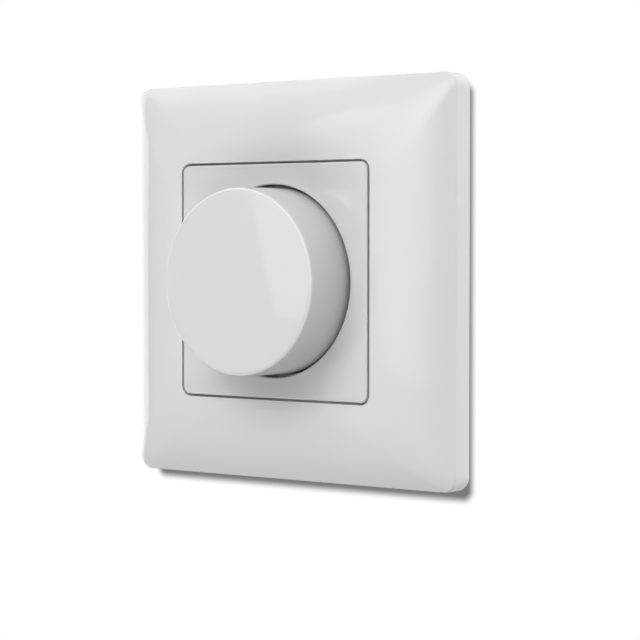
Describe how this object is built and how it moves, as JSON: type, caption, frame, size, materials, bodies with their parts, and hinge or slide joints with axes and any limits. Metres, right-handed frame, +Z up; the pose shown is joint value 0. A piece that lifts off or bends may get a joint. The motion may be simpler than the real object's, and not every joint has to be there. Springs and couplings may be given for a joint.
{
  "type": "rotary dimmer remote",
  "caption": "Square wall-mounted dimmer remote with a pillow-shaped frame, a square centre plate in a fine gap and a large round knob that turns and presses.",
  "frame": {"origin": "centre of the square back, on the wall plane", "axes": "+Z up on the wall, front and knob towards -Y, +Y into the wall, +X to the right seen from the front"},
  "size_m": [0.086, 0.023, 0.086],
  "materials": {
    "frame_white": "glossy white moulding",
    "plate_white": "glossy white moulding",
    "knob_white": "satin white moulding",
    "housing_white": "fine-textured white moulding",
    "bracket_white": "fine-textured white moulding",
    "foam": "closed-cell foam tape",
    "board_green": "solder-masked laminate",
    "steel": "bright zinc-plated steel",
    "cell_steel": "brushed nickel-plated steel",
    "spring_bronze": "plated spring bronze",
    "chip_black": "moulded epoxy",
    "capacitor_tan": "moulded epoxy",
    "encoder_black": "moulded plastic",
    "zinc": "plated die casting",
    "rotor_white": "moulded plastic"
  },
  "bodies": {
    "base": {"frame": "frame_white", "centre_plate": "plate_white", "rear_housing": "housing_white", "mounting_plate": "bracket_white", "adhesive_pads": "foam", "circuit_board": "board_green", "housing_screws": "steel", "coin_cell": "cell_steel", "negative_contact": "spring_bronze", "positive_contact": "spring_bronze", "radio_chip": "chip_black", "crystal": "cell_steel", "supply_capacitor": "capacitor_tan", "encoder_base": "encoder_black", "encoder_cover": "zinc", "encoder_washer": "steel", "encoder_nut": "steel", "encoder_terminals": "spring_bronze", "click_spring": "steel", "switch_dome": "steel"},
    "rotor": {"encoder_rotor": "rotor_white", "wiper_contact": "spring_bronze"},
    "knob": {"knob": "knob_white", "encoder_shaft": "zinc", "knob_clip": "steel"},
    "battery_cover": {"battery_cover": "housing_white"}
  },
  "joints": [
    {"name": "knob_turn", "type": "hinge", "parent": "base", "child": "rotor", "pos_m": [0, 0, 0], "axis": [0, 1, 0], "continuous": true},
    {"name": "knob_press", "type": "slide", "parent": "rotor", "child": "knob", "axis": [0, 1, 0], "range_m": [0, 0.0005], "stiffness_N_per_m": 2000, "springref_m": -0.001, "deforming": ["switch_dome"]},
    {"name": "battery_cover_turn", "type": "hinge", "parent": "base", "child": "battery_cover", "pos_m": [0, 0, 0], "axis": [0, 1, 0], "range_deg": [0, 45]}
  ]
}
